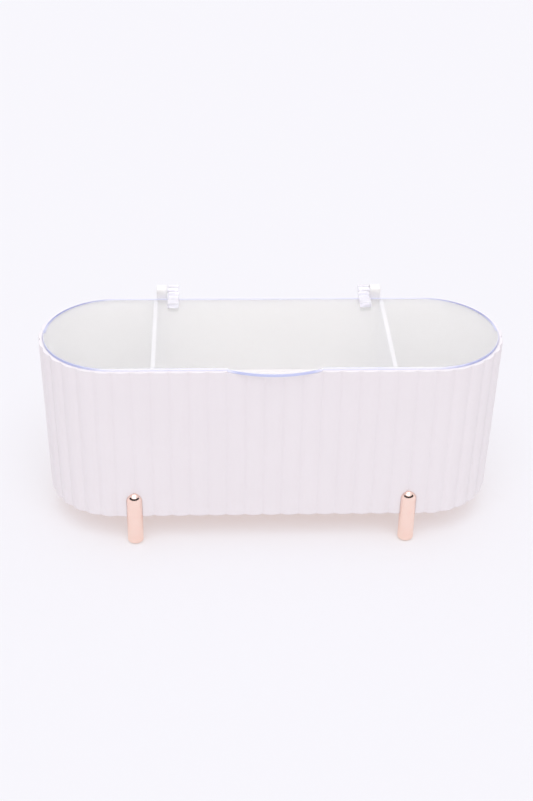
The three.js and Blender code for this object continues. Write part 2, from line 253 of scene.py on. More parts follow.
def clear_acrylic(name, colour, roughness, haze, rub_depth):
    """Acrylic that the eye sees through. haze is the share of light that it throws back."""
    material, tree, point = start_material(name)
    stretch = add(
        tree,
        "ShaderNodeMapping",
        {"Rotation": (0, 0, RUB_ANGLE), "Scale": (1 / RUB_LENGTH_MM, 1 / RUB_WIDTH_MM, 1.0)},
        {"Vector": point},
    )
    rubs = add(tree, "ShaderNodeTexNoise", {"Scale": 1.0, "Detail": 4.0}, {"Vector": stretch.outputs[0]})
    relief = add(
        tree, "ShaderNodeBump", {"Strength": 1.0, "Distance": rub_depth}, {"Height": rubs.outputs[0]}
    )
    eye = add(
        tree,
        "ShaderNodeBsdfPrincipled",
        {
            "Base Color": linear(colour),
            "Roughness": roughness,
            "IOR": ACRYLIC_IOR,
            "Transmission Weight": 1.0 - haze,
        },
        {"Normal": relief.outputs[0]},
    )
    passed = [channel * (1 - haze) for channel in linear(colour)[:3]] + [1.0]
    lamps = add(tree, "ShaderNodeBsdfTransparent", {"Color": passed})
    ray = add(tree, "ShaderNodeLightPath")
    surface = add(
        tree,
        "ShaderNodeMixShader",
        links={0: ray.outputs["Is Shadow Ray"], 1: eye.outputs[0], 2: lamps.outputs[0]},
    )
    end_material(tree, surface)
    return material


# Where the edge's blue is painted deeper, in millimetres.
CORNER_FROM_X, CORNER_TO_X = 68, 83
TIP_TO_Y, CORNER_FROM_Y = 4, 15
TIP_DEPTH = 0.4
TAB_FROM_Y, TAB_TO_Y = -30.8, -33
MARK_MM = 3.0
# The colour of the painted glow on the cut edge.
PIPED_LIGHT = "#DDE4FF"


def painted_acrylic_edge(name, colour, deep_colour, glow):
    """The cut and flame-polished edge, with painted light: its blue painted deeper at the round corners and
    the tab, unevenly, and a painted glow.
    """
    material, tree, point = start_material(name)
    place = add(tree, "ShaderNodeSeparateXYZ", links={"Vector": point})
    along = add(tree, "ShaderNodeMath", links={0: place.outputs["X"]}, operation="ABSOLUTE")
    across = add(tree, "ShaderNodeMath", links={0: place.outputs["Y"]}, operation="ABSOLUTE")
    ends = add(
        tree,
        "ShaderNodeMapRange",
        {"From Min": CORNER_FROM_X, "From Max": CORNER_TO_X},
        {"Value": along.outputs[0]},
    )
    off_tip = add(
        tree,
        "ShaderNodeMapRange",
        {"From Min": TIP_TO_Y, "From Max": CORNER_FROM_Y, "To Min": TIP_DEPTH},
        {"Value": across.outputs[0]},
    )
    corner = add(
        tree, "ShaderNodeMath", links={0: ends.outputs[0], 1: off_tip.outputs[0]}, operation="MINIMUM"
    )
    tab = add(
        tree,
        "ShaderNodeMapRange",
        {"From Min": TAB_FROM_Y, "From Max": TAB_TO_Y},
        {"Value": place.outputs["Y"]},
    )
    path = add(
        tree, "ShaderNodeMath", links={0: corner.outputs[0], 1: tab.outputs[0]}, operation="MAXIMUM"
    )
    marks = add(tree, "ShaderNodeTexNoise", {"Scale": 1 / MARK_MM, "Detail": 3.0}, {"Vector": point})
    uneven = add(
        tree,
        "ShaderNodeMapRange",
        {"From Min": 0.3, "From Max": 0.7, "To Min": -0.12, "To Max": 0.12},
        {"Value": marks.outputs[0]},
    )
    depth = add(
        tree,
        "ShaderNodeMath",
        links={0: path.outputs[0], 1: uneven.outputs[0]},
        operation="ADD",
        use_clamp=True,
    )
    tint = add(
        tree,
        "ShaderNodeMix",
        {MIX_A: linear(colour), MIX_B: linear(deep_colour)},
        {"Factor": depth.outputs[0]},
        data_type="RGBA",
    )
    # The emission is painted light: a faint glow that stands in for the light the sheet pipes to its edge.
    surface = add(
        tree,
        "ShaderNodeBsdfPrincipled",
        {
            "Roughness": 0.25,
            "IOR": ACRYLIC_IOR,
            "Emission Color": linear(PIPED_LIGHT),
            "Emission Strength": glow,
        },
        {"Base Color": tint.outputs[MIX_OUT]},
    )
    end_material(tree, surface)
    return material


lid_face = clear_acrylic("clear_acrylic_face", "#FAF9F8", 0.26, 0.24, 0.0000002)
lid_edge_painted = painted_acrylic_edge("acrylic_cut_edge_painted_glow", "#F0F0FB", "#B2B7DC", 0.16)
# A painted blue line for the strip along the back of the upper face, which stands in for the look of the
# edge there.
lid_back_line_painted = painted_acrylic_edge("acrylic_painted_back_line", "#DADBEE", "#8488BB", 0.0)
arm_acrylic = clear_acrylic("moulded_clear_acrylic", "#FCFBFF", 0.24, 0.16, 0.000002)
print("acrylics:", lid_face.name, lid_edge_painted.name, arm_acrylic.name)

# %% [markdown]
# ## Rose gold plating
#
# The legs are cast in zinc, polished, and electroplated with copper, nickel and a thin rose gold coat.
# Plating is a mirror with a colour: it is metallic, with a low roughness. Polishing never leaves it
# quite even, so a faint orange-peel ripple of about 2 mm bends its reflections, and fine wipe marks run
# round the post.

# %% Rose gold
PLATE_CLOUD_MM = 4
PEEL_MM = 2.0
PEEL_DEPTH = 0.000012
WIPE_LENGTH_MM = 10 / 3
WIPE_WIDTH_MM = 0.25  # drawn coarser than real wipe marks, so that they show


def rose_gold_plate(name, colour, deep_colour):
    material, tree, point = start_material(name)
    cloud = add(tree, "ShaderNodeTexNoise", {"Scale": 1 / PLATE_CLOUD_MM, "Detail": 2.0}, {"Vector": point})
    tint = add(
        tree,
        "ShaderNodeMix",
        {MIX_A: linear(colour), MIX_B: linear(deep_colour)},
        {"Factor": cloud.outputs[0]},
        data_type="RGBA",
    )
    wipe_scale = (1 / WIPE_LENGTH_MM, 1 / WIPE_LENGTH_MM, 1 / WIPE_WIDTH_MM)
    around = add(tree, "ShaderNodeMapping", {"Scale": wipe_scale}, {"Vector": point})
    wipes = add(tree, "ShaderNodeTexNoise", {"Scale": 1.0, "Detail": 4.0}, {"Vector": around.outputs[0]})
    gloss = add(
        tree,
        "ShaderNodeMapRange",
        {"From Min": 0.3, "From Max": 0.7, "To Min": 0.08, "To Max": 0.17},
        {"Value": wipes.outputs[0]},
    )
    peel = add(tree, "ShaderNodeTexNoise", {"Scale": 1 / PEEL_MM, "Detail": 1.0}, {"Vector": point})
    ripple = add(
        tree, "ShaderNodeBump", {"Strength": 1.0, "Distance": PEEL_DEPTH}, {"Height": peel.outputs[0]}
    )
    surface = add(
        tree,
        "ShaderNodeBsdfPrincipled",
        {"Metallic": 1.0},
        {"Base Color": tint.outputs[MIX_OUT], "Roughness": gloss.outputs[0], "Normal": ripple.outputs[0]},
    )
    end_material(tree, surface)
    return material


rose_gold = rose_gold_plate("rose_gold_electroplate", "#FFE7DA", "#FFDDCF")
print("plating:", rose_gold.name)

# %% [markdown]
# ## Steel wire and zinc-plated screws
#
# The hinge pins are drawn stainless wire: drawing through a die leaves fine lines along the wire. The
# screws are steel under bright zinc, which dries in small patches a millimetre or so across, each a
# slightly different grey.

# %% Steels
DRAW_LENGTH_MM = 5
DRAW_WIDTH_MM = 1 / 12
DRAW_DEPTH = 0.000003
ZINC_PATCH_MM = 0.9


def drawn_steel(name, colour):
    material, tree, point = start_material(name)
    draw_scale = (1 / DRAW_LENGTH_MM, 1 / DRAW_WIDTH_MM, 1 / DRAW_WIDTH_MM)
    along = add(tree, "ShaderNodeMapping", {"Scale": draw_scale}, {"Vector": point})
    lines = add(tree, "ShaderNodeTexNoise", {"Scale": 1.0, "Detail": 3.0}, {"Vector": along.outputs[0]})
    gloss = add(
        tree,
        "ShaderNodeMapRange",
        {"To Min": 0.22, "To Max": 0.38},
        {"Value": lines.outputs[0]},
    )
    relief = add(
        tree, "ShaderNodeBump", {"Strength": 1.0, "Distance": DRAW_DEPTH}, {"Height": lines.outputs[0]}
    )
    surface = add(
        tree,
        "ShaderNodeBsdfPrincipled",
        {"Base Color": linear(colour), "Metallic": 1.0},
        {"Roughness": gloss.outputs[0], "Normal": relief.outputs[0]},
    )
    end_material(tree, surface)
    return material


def zinc_plate(name, colour, deep_colour):
    material, tree, point = start_material(name)
    patches = add(tree, "ShaderNodeTexVoronoi", {"Scale": 1 / ZINC_PATCH_MM}, {"Vector": point})
    tint = add(
        tree,
        "ShaderNodeMix",
        {MIX_A: linear(colour), MIX_B: linear(deep_colour)},
        {"Factor": patches.outputs["Distance"]},
        data_type="RGBA",
    )
    gloss = add(
        tree, "ShaderNodeMapRange", {"To Min": 0.24, "To Max": 0.42}, {"Value": patches.outputs["Distance"]}
    )
    surface = add(
        tree,
        "ShaderNodeBsdfPrincipled",
        {"Metallic": 1.0},
        {"Base Color": tint.outputs[MIX_OUT], "Roughness": gloss.outputs[0]},
    )
    end_material(tree, surface)
    return material


pin_steel = drawn_steel("drawn_stainless_wire", "#E2E2E4")
screw_zinc = zinc_plate("bright_zinc_plate", "#D2D2D0", "#B4B6B9")
print("steels:", pin_steel.name, screw_zinc.name)

# %% [markdown]
# ## Silicone
#
# The foot pads are punched from matt white silicone sheet. Silicone is soft and slightly cloudy, its
# gloss is low, and it picks up dust, so its colour is a little greyer in specks.

# %% Silicone
DUST_MM = 0.5  # drawn coarser than real dust, so that it shows
DUST_DEPTH = 0.00001
SILICONE_IOR = 1.41


def matt_silicone(name, colour, dust_colour):
    material, tree, point = start_material(name)
    dust = add(tree, "ShaderNodeTexNoise", {"Scale": 1 / DUST_MM, "Detail": 5.0}, {"Vector": point})
    specks = add(
        tree, "ShaderNodeMapRange", {"From Min": 0.52, "From Max": 0.75}, {"Value": dust.outputs[0]}
    )
    tint = add(
        tree,
        "ShaderNodeMix",
        {MIX_A: linear(colour), MIX_B: linear(dust_colour)},
        {"Factor": specks.outputs[0]},
        data_type="RGBA",
    )
    relief = add(
        tree, "ShaderNodeBump", {"Strength": 1.0, "Distance": DUST_DEPTH}, {"Height": dust.outputs[0]}
    )
    surface = add(
        tree,
        "ShaderNodeBsdfPrincipled",
        {"Roughness": 0.62, "IOR": SILICONE_IOR},
        {"Base Color": tint.outputs[MIX_OUT], "Normal": relief.outputs[0]},
    )
    end_material(tree, surface)
    return material


silicone = matt_silicone("matt_white_silicone", "#E6E4E2", "#CFCCC8")
print("silicone:", silicone.name)

# %% [markdown]
# ## Tools for the shapes
#
# Every piece is modelled in millimetres and made metres when it is finished. Three tools do most of the
# work. A wire of corners, some of them rounded by a vertex bevel, gives an outline. A full spin of such
# an outline about an axis gives a turned piece. A Boolean gives a piece the hollows that its neighbours
# sit in, and it is applied at once, so that each piece is a plain mesh.
#
# Smooth shading is right for round walls and wrong for a flat face beside a tight edge, which it would
# darken. Edges that turn sharply are marked sharp, and a Weighted Normal modifier lets the large faces
# keep their own direction.

# %% Wires, turned pieces and hollows
SHARP = math.radians(48)
WELD = 1e-4  # points closer than this, in millimetres, are one point
FULL_TURN = 2 * math.pi


def corners_mm(node):
    """The lowest and highest corners of a CAD node, in millimetres."""
    low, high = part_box(node)
    return low * 1000, high * 1000


def wire(bm, corners, segments=6):
    """Joins (x, y, z, rounding) corners by edges, and rounds those that ask for it. Open-ended."""
    made = [bmesh.ops.create_vert(bm, co=corner[:3])["vert"][0] for corner in corners]
    for here, there in zip(made, made[1:]):
        bmesh.ops.contextual_create(bm, geom=[here, there])
    for vert, corner in zip(made, corners):
        if corner[3] > 0:
            bmesh.ops.bevel(
                bm,
                geom=[vert],
                offset=corner[3],
                offset_type="OFFSET",
                affect="VERTICES",
                segments=segments,
                profile=0.5,
                material=-1,
            )
    return made


def turned(corners, steps=64, segments=8):
    """Spins (radius, height, rounding) corners about Z. The first and the last are on the axis."""
    bm = bmesh.new()
    wire(bm, [(radius, 0, height, rounding) for radius, height, rounding in corners], segments)
    bmesh.ops.spin(
        bm,
        geom=bm.verts[:] + bm.edges[:],
        cent=(0, 0, 0),
        axis=(0, 0, 1),
        angle=FULL_TURN,
        steps=steps,
        use_merge=True,
    )
    bmesh.ops.remove_doubles(bm, verts=bm.verts, dist=WELD)
    bmesh.ops.recalc_face_normals(bm, faces=bm.faces)
    return bm


def block(low, high):
    """A box between two corners, as a tool for cutting."""
    bm = bmesh.new()
    bmesh.ops.create_cube(bm, size=1.0)
    low, high = Vector(low), Vector(high)
    bmesh.ops.scale(bm, vec=high - low, verts=bm.verts)
    bmesh.ops.translate(bm, vec=(low + high) / 2, verts=bm.verts)
    return bm


def prism(bm, x0, x1, edge_round):
    """Fills a closed wire drawn at x = 0, stretches it along X, and rounds its rims."""
    bmesh.ops.remove_doubles(bm, verts=bm.verts, dist=WELD)
    face = bmesh.ops.contextual_create(bm, geom=bm.edges[:])["faces"]
    bmesh.ops.translate(bm, vec=(x0, 0, 0), verts=bm.verts)
    grown = bmesh.ops.extrude_face_region(bm, geom=face)["geom"]
    far = [item for item in grown if isinstance(item, bmesh.types.BMVert)]
    bmesh.ops.translate(bm, vec=(x1 - x0, 0, 0), verts=far)
    bmesh.ops.recalc_face_normals(bm, faces=bm.faces)
    if edge_round:
        rims = [e for e in bm.edges if abs(e.verts[0].co.x - e.verts[1].co.x) < WELD]
        soften(bm, rims, edge_round)
    return bm


def soften(bm, edges, radius, segments=3):
    """Rounds edges with a small radius, as a mould or a polish leaves them."""
    bmesh.ops.bevel(
        bm,
        geom=edges,
        offset=radius,
        offset_type="OFFSET",
        affect="EDGES",
        segments=segments,
        profile=0.5,
        material=-1,
        clamp_overlap=True,
    )


def moved(bm, matrix):
    bmesh.ops.transform(bm, matrix=matrix, verts=bm.verts)
    return bm


def loose_object(name, bm):
    mesh = bpy.data.meshes.new(name)
    bm.to_mesh(mesh)
    bm.free()
    made = bpy.data.objects.new(name, mesh)
    bpy.context.scene.collection.objects.link(made)
    return made


def carve(bm, tools, operation="DIFFERENCE"):
    """The piece with each tool cut away from it, or joined to it, as a new bmesh."""
    blank = loose_object("blank", bm)
    helpers = [loose_object("tool", tool) for tool in tools]
    for helper in helpers:
        step = blank.modifiers.new("carve", "BOOLEAN")
        step.operation = operation
        step.solver = "EXACT"
        step.object = helper
    bpy.context.view_layer.update()
    seen = blank.evaluated_get(bpy.context.evaluated_depsgraph_get())
    result = bmesh.new()
    result.from_mesh(seen.to_mesh())
    seen.to_mesh_clear()
    for used in [blank] + helpers:
        mesh = used.data
        bpy.data.objects.remove(used)
        bpy.data.meshes.remove(mesh)
    bmesh.ops.remove_doubles(result, verts=result.verts, dist=WELD)
    return result


def finish_piece(name, bm, materials, body, stands_for):
    """Makes a finished object of a bmesh in millimetres, hangs it on its body, and hides the CAD node that
    it stands for.
    """
    bmesh.ops.scale(bm, vec=(0.001, 0.001, 0.001), verts=bm.verts)
    piece = loose_object(name, bm)
    for material in materials:
        piece.data.materials.append(material)
    piece.data.polygons.foreach_set("use_smooth", [True] * len(piece.data.polygons))
    piece.data.set_sharp_from_angle(angle=SHARP)
    shading = piece.modifiers.new("even_shading", "WEIGHTED_NORMAL")
    shading.keep_sharp = True
    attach(piece, body)
    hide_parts(stands_for)
    print(name, len(piece.data.polygons), "faces")
    return piece


# %% [markdown]
# ## The tub: one wall section swept round a fluted outline
#
# Seen from above the tub is a stadium: two straight sides, closed by half circles. Its wall is a row of
# convex flutes that meet in sharp valleys, 17 along each side and 13 round each end. Each flute is a
# vertex spun through a short arc, and 60 of them in a row close the outline.
#
# The wall could be extruded and then cut, but its soft edges would be hard to add afterwards. Here the
# outline is laid again and again along the wall's section instead: under the floor, up the outside, over
# the rim, down the step that the lid sits in, down the inside and across the floor. Outside, each ring
# keeps its flutes. Inside, the rings are smooth. Both faces of the wall lean in towards the floor so that
# the moulding leaves its mould, the inside more than the outside.

# %% The tub's sizes
lid_low, lid_high = corners_mm("lid_panel")
shell_low, shell_high = corners_mm("body_shell")

HALF_STRAIGHT = lid_high.x - lid_high.y
FLUTE_DEPTH = 0.8
FLUTES_PER_SIDE = 17
FLUTES_PER_END = 13
STEPS_PER_FLUTE = 10
OUTER_DRAFT = 0.0195  # how far the outside leans in for each millimetre below the rim
INNER_DRAFT = 0.028  # the same for the inside, so the wall thickens towards the floor
WALL_IN = 30.0
FLOOR_THICKNESS = 2.2
LID_CLEARANCE = 0.3
LEDGE_GAP = 0.2
RIM_BELOW_LID = 0.8
TAB_HALF = 19.55  # half the width of the lid's finger tab

rim_z = lid_high.z - RIM_BELOW_LID
bottom_z = shell_low.z
floor_z = bottom_z + FLOOR_THICKNESS
ledge_z = lid_low.z - LEDGE_GAP
valley_radius = shell_high.x - HALF_STRAIGHT - FLUTE_DEPTH
print("valley radius", round(valley_radius, 2), "mm, rim at", round(rim_z, 1), "mm")


def lean(z, draft):
    """How far a wall with a draft has leaned in at a height."""
    return (rim_z - z) * draft


def spine_x(x):
    """The nearest point to x on the stadium's middle line, which ends where the half circles start."""
    return max(-HALF_STRAIGHT, min(HALF_STRAIGHT, x))


# %% Trace the flutes
def spin_flute(bm, start, end, rise):
    """One flute: a vertex spun from start to end on an arc that bulges out by rise."""
    chord = end - start
    arc_radius = (chord.length**2 / 4 + rise**2) / (2 * rise)
    outwards = Vector((chord.y, -chord.x, 0)).normalized()
    middle = (start + end) / 2 + outwards * (rise - arc_radius)
    bmesh.ops.spin(
        bm,
        geom=bmesh.ops.create_vert(bm, co=start)["vert"],
        cent=middle,
        axis=(0, 0, 1),
        angle=2 * math.asin(chord.length / 2 / arc_radius),
        steps=STEPS_PER_FLUTE,
    )


def valley_points():
    """The points where flutes meet, once round the tub, from the front's left end."""
    points = []
    for side in (-1, 1):
        for i in range(FLUTES_PER_SIDE):
            along = HALF_STRAIGHT * (2 * i / FLUTES_PER_SIDE - 1)
            points.append(Vector((-side * along, side * valley_radius, 0)))
        for i in range(FLUTES_PER_END):
            angle = math.pi * i / FLUTES_PER_END + side * math.pi / 2
            spoke = Vector((math.cos(angle), math.sin(angle), 0)) * valley_radius
            points.append(Vector((-side * HALF_STRAIGHT, 0, 0)) + spoke)
    return points


def fluted_outline(bm):
    valleys = valley_points()
    for start, end in zip(valleys, valleys[1:] + valleys[:1]):
        chord_middle = (start + end) / 2
        chord_radius = math.hypot(chord_middle.x - spine_x(chord_middle.x), chord_middle.y)
        spin_flute(bm, start, end, valley_radius + FLUTE_DEPTH - chord_radius)
    bmesh.ops.remove_doubles(bm, verts=bm.verts, dist=WELD)


# %% Sweep the wall's section
def section(corners, segments=5):
    """The (radius, z) points of a wall section, in order, with its corners rounded."""
    bm = bmesh.new()
    wire(bm, [(radius, 0, z, rounding) for radius, z, rounding in corners], segments)
    bm.verts.ensure_lookup_table()
    here = next(v for v in bm.verts if (v.co.xz - Vector(corners[0][:2])).length < WELD)
    points, edge = [here.co.xz.copy()], None
    while True:
        onward = [e for e in here.link_edges if e is not edge]
        if not onward:
            break
        edge = onward[0]
        here = edge.other_vert(here)
        points.append(here.co.xz.copy())
    bm.free()
    return points


def lay_ring(verts, swell, radius, z, fluted):
    """Puts a ring of vertices at a radius from the stadium's middle line, with or without flutes."""
    for vert in verts:
        over_spine = spine_x(vert.co.x)
        spoke = Vector((vert.co.x - over_spine, vert.co.y, 0)).normalized()
        reach = radius + (vert[swell] if fluted else 0)
        vert.co = Vector((over_spine, 0, z)) + spoke * reach


UNDERSIDE_RADIUS = 24.0
FLOOR_RADIUS = 20.0
BOTTOM_EDGE_RADIUS = 0.6
RIM_ROUND = 0.3
STEP_ROUND = 0.2
FLOOR_FILLET = 2.0
RIM_LAND = 0.5
outer_corners = [
    (UNDERSIDE_RADIUS, bottom_z, 0),
    (valley_radius - lean(bottom_z, OUTER_DRAFT), bottom_z, BOTTOM_EDGE_RADIUS),
    (valley_radius, rim_z, RIM_ROUND),
    (valley_radius - RIM_LAND, rim_z, 0),
]
rebate_radius = lid_high.y + LID_CLEARANCE
inner_corners = [
    (rebate_radius + RIM_LAND, rim_z, 0),
    (rebate_radius, rim_z, STEP_ROUND),
    (rebate_radius, ledge_z, 0),
    (WALL_IN, ledge_z, STEP_ROUND),
    (WALL_IN - lean(floor_z, INNER_DRAFT), floor_z, FLOOR_FILLET),
    (FLOOR_RADIUS, floor_z, 0),
]
rings = [(point, True) for point in section(outer_corners)[:-1]]
rings += [(point, False) for point in section(inner_corners)[1:]]

tub = bmesh.new()
swell = tub.verts.layers.float.new("swell")
fluted_outline(tub)
for vert in tub.verts:
    vert[swell] = math.hypot(vert.co.x - spine_x(vert.co.x), vert.co.y) - valley_radius
ring_verts, ring_edges = tub.verts[:], tub.edges[:]
first_edges = ring_edges
for number, ((radius, z), fluted) in enumerate(rings):
    if number:
        grown = bmesh.ops.extrude_edge_only(tub, edges=ring_edges)["geom"]
        ring_verts = [item for item in grown if isinstance(item, bmesh.types.BMVert)]
        ring_edges = [item for item in grown if isinstance(item, bmesh.types.BMEdge)]
        ring_edges = [e for e in ring_edges if all(v in set(ring_verts) for v in e.verts)]
    lay_ring(ring_verts, swell, radius, z, fluted)
for rim in (first_edges, ring_edges):
    bmesh.ops.contextual_create(tub, geom=rim)
bmesh.ops.recalc_face_normals(tub, faces=tub.faces)
print("tub wall:", len(rings), "rings,", len(tub.faces), "faces")

# %% [markdown]
# ## The tub's ears and hollows
#
# Two ears stand up from the back wall, moulded in one with it, and each holds a hinge pin, whose head
# sits in a counterbore. Below, the ear runs out into the wall as a bracket. The hollows are cut last: a
# notch in the rim that the finger tab passes through, upright grooves that hold the partitions, a seat in
# the wall for each leg, and a stepped screw hole behind it.

# %% Ears
arm_low, arm_high = corners_mm("hinge_arm_right")
pin_low, pin_high = corners_mm("hinge_pin_right")
pivot_y, pivot_z = (pin_low.yz + pin_high.yz) / 2
EAR_FRONT_Y = 31.4
EAR_FOOT_Z = 77.6
EAR_BACK_ROUND = 1.0
EAR_EDGE = 0.25
EAR_HOLE = 1.0
PIN_HEAD = 0.5
HEAD_CLEARANCE = 0.08
ARM_GAP = 0.3
CUT_PAST = 5  # how far a cutting tool runs past the piece that it cuts
ear_inner_x = arm_high.x + ARM_GAP
ear_outer_x = pin_high.x
head_seat_x = pin_high.x - PIN_HEAD
head_radius = (pin_high.z - pin_low.z) / 2
ear_radius = shell_high.y - pivot_y


def ear(side):
    bm = bmesh.new()
    wire(
        bm,
        [
            (0, pivot_y - ear_radius, pivot_z, 0),
            (0, EAR_FRONT_Y, EAR_FOOT_Z, 0),
            (0, pivot_y + ear_radius, pivot_z - ear_radius, EAR_BACK_ROUND),
            (0, pivot_y + ear_radius, pivot_z, 0),
        ],
    )
    bmesh.ops.spin(
        bm,
        geom=bmesh.ops.create_vert(bm, co=(0, pivot_y + ear_radius, pivot_z))["vert"],
        cent=(0, pivot_y, pivot_z),
        axis=(1, 0, 0),
        angle=math.pi,
        steps=24,
    )
    return prism(bm, *sorted((side * ear_inner_x, side * ear_outer_x)), edge_round=EAR_EDGE)


def rod_along_x(radius, x0, x1, y, z):
    rod = turned([(0, x0, 0), (radius, x0, 0), (radius, x1, 0), (0, x1, 0)], steps=48)
    return moved(rod, Matrix.Translation((0, y, z)) @ Matrix.Rotation(UPRIGHT, 4, "Y"))


tub = carve(tub, [ear(-1), ear(1)], "UNION")
reach_x = ear_outer_x + CUT_PAST
bores = [rod_along_x(EAR_HOLE, -reach_x, reach_x, pivot_y, pivot_z)]
for near, far in ((-reach_x, -head_seat_x), (head_seat_x, reach_x)):
    bores.append(rod_along_x(head_radius + HEAD_CLEARANCE, near, far, pivot_y, pivot_z))
tub = carve(tub, bores)
print("tub with ears:", len(tub.faces), "faces")

# %% Hollows
PARTITION_GAP = 0.2
SLOT_DEPTH = 0.6
LEG_SEAT_GAP = 0.05
LEG_SEAT_Y = 29.6
SCREW_Z = 20.2
SPOT_FACE_Y = 28.2
SPOT_FACE_RADIUS = 2.8
SCREW_HOLE_RADIUS = 1.4
SEAT_HALF = 9
leg_low, leg_high = corners_mm("leg_front_right")
leg_radius = (leg_high.x - leg_low.x) / 2
leg_x = (leg_high.x + leg_low.x) / 2
leg_y = -(leg_low.y + leg_radius)


def post(radius, low_z, foot_round):
    """The leg's round form: a post with a domed top, about its own axis."""
    top_z = leg_high.z + radius - leg_radius
    corners = [(0, low_z, 0), (radius, low_z, foot_round), (radius, top_z, radius), (0, top_z, 0)]
    return turned(corners, segments=14)


def wall_turn(side):
    """Turns what points up into what points out of the front (-1) or the back (1) wall."""
    return Matrix.Rotation(-side * UPRIGHT, 4, "X")


def leg_seat(x, side):
    seat = moved(post(leg_radius + LEG_SEAT_GAP, bottom_z - 2, 0), Matrix.Translation((x, side * leg_y, 0)))
    near, far = side * LEG_SEAT_Y, side * (leg_y + 2 * leg_radius)
    low = (x - SEAT_HALF, min(near, far), 0)
    high = (x + SEAT_HALF, max(near, far), leg_high.z + CUT_PAST)
    keep = block(low, high)
    return carve(seat, [keep], "INTERSECT")


def screw_hole(x, side):
    corners = [
        (0, SPOT_FACE_Y - 3, 0),
        (SPOT_FACE_RADIUS, SPOT_FACE_Y - 3, 0),
        (SPOT_FACE_RADIUS, SPOT_FACE_Y, 0),
        (SCREW_HOLE_RADIUS, SPOT_FACE_Y, 0),
        (SCREW_HOLE_RADIUS, leg_y + leg_radius, 0),
        (0, leg_y + leg_radius, 0),
    ]
    return moved(turned(corners, steps=40), Matrix.Translation((x, 0, SCREW_Z)) @ wall_turn(side))


def partition_groove(side):
    low, high = corners_mm("partition_right" if side > 0 else "partition_left")
    bm = block((low.x - PARTITION_GAP, -1, floor_z), (high.x + PARTITION_GAP, 1, ledge_z + 3))
    for vert in bm.verts:
        vert.co.y *= WALL_IN - lean(vert.co.z, INNER_DRAFT) + SLOT_DEPTH
    return bm


notch_half = TAB_HALF + LID_CLEARANCE
notch_low = (-notch_half, -valley_radius - 3, ledge_z)
notch_high = (notch_half, -WALL_IN - STEP_ROUND, rim_z + 3)
tools = [block(notch_low, notch_high)]
tools += [partition_groove(side) for side in (-1, 1)]
for side in (-1, 1):
    for x in (-leg_x, leg_x):
        tools += [leg_seat(x, side), screw_hole(x, side)]
tub = carve(tub, tools)
# Faces inside the cavity and on the ears get the polished material with its painted lighter colour.
for face in tub.faces:
    middle = face.calc_center_median()
    in_cavity = math.hypot(middle.x - spine_x(middle.x), middle.y) < WALL_IN + WELD
    inside = in_cavity and middle.z > floor_z - WELD
    on_ear = middle.z > rim_z + WELD
    face.material_index = 1 if inside or on_ear else 0
finish_piece("tub_moulding", tub, [white_abs, polished_abs_painted_lighter], "tub", "body_shell")

# %% [markdown]
# ## The partitions
#
# Each partition is a plain white plate that stands in grooves and follows the lean of the walls. The
# CAD node already has that shape, so a copy of it is cleaned: its loose triangles are joined, the flat
# ones dissolved, and its edges softened.

# %% Partitions
PLATE_EDGE = 0.12
for side_name in ("left", "right"):
    plate = bmesh.new()
    plate.from_mesh(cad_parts[f"partition_{side_name}"].data)
    bmesh.ops.scale(plate, vec=(1000, 1000, 1000), verts=plate.verts)
    bmesh.ops.remove_doubles(plate, verts=plate.verts, dist=WELD)
    bmesh.ops.dissolve_limit(
        plate, angle_limit=math.radians(1), verts=plate.verts, edges=plate.edges, delimit=set()
    )
    soften(plate, plate.edges[:], PLATE_EDGE)
    finish_piece(
        f"partition_plate_{side_name}",
        plate,
        [white_partition],
        "tub",
        f"partition_{side_name}",
    )

# %% [markdown]
# ## The lid
#
# The lid's outline is made of straight lines and three arcs, so each arc is a vertex spun about its centre.
# The outline is filled, drawn up to the sheet's thickness, and its rims are softened as a flame polish
# softens them. The faces that look up and down are clear, and all others are cut edge, with its painted
# blue and painted glow. An inset of the upper face makes the strip along the back, which carries a painted
# blue line, and its front half is dissolved again.

# %% Lid
TAB_SHOULDER_Y = 31.2
TAB_FILLET = 0.5
TAB_STEPS, END_STEPS = 32, 72
FLAT = 0.99
EDGE_SOFT = 0.15
PAINTED_LINE_WIDTH = 1.0
lid_radius = lid_high.y
tab_rise = -lid_low.y - TAB_SHOULDER_Y
tab_radius = (TAB_HALF**2 + tab_rise**2) / (2 * tab_rise)
tab_angle = math.asin(TAB_HALF / tab_radius)
lid_z = lid_low.z


def arc(bm, start, centre, angle, steps):
    bmesh.ops.spin(
        bm,
        geom=bmesh.ops.create_vert(bm, co=start)["vert"],
        cent=centre,
        axis=(0, 0, 1),
        angle=angle,
        steps=steps,
    )


lid = bmesh.new()
for side in (-1, 1):
    wire(
        lid,
        [
            (side * HALF_STRAIGHT, -lid_radius, lid_z, 0),
            (side * TAB_HALF, -lid_radius, lid_z, TAB_FILLET),
            (side * TAB_HALF, -TAB_SHOULDER_Y, lid_z, 0),
        ],
    )
wire(lid, [(-HALF_STRAIGHT, lid_radius, lid_z, 0), (HALF_STRAIGHT, lid_radius, lid_z, 0)])
tab_start, tab_centre = (-TAB_HALF, -TAB_SHOULDER_Y, lid_z), (0, lid_low.y + tab_radius, lid_z)
arc(lid, tab_start, tab_centre, 2 * tab_angle, TAB_STEPS)
arc(lid, (HALF_STRAIGHT, -lid_radius, lid_z), (HALF_STRAIGHT, 0, lid_z), math.pi, END_STEPS)
arc(lid, (-HALF_STRAIGHT, lid_radius, lid_z), (-HALF_STRAIGHT, 0, lid_z), math.pi, END_STEPS)
bmesh.ops.remove_doubles(lid, verts=lid.verts, dist=WELD)
sheet = bmesh.ops.contextual_create(lid, geom=lid.edges[:])["faces"]
grown = bmesh.ops.extrude_face_region(lid, geom=sheet)["geom"]
upper = [item for item in grown if isinstance(item, bmesh.types.BMVert)]
bmesh.ops.translate(lid, vec=(0, 0, lid_high.z - lid_low.z), verts=upper)
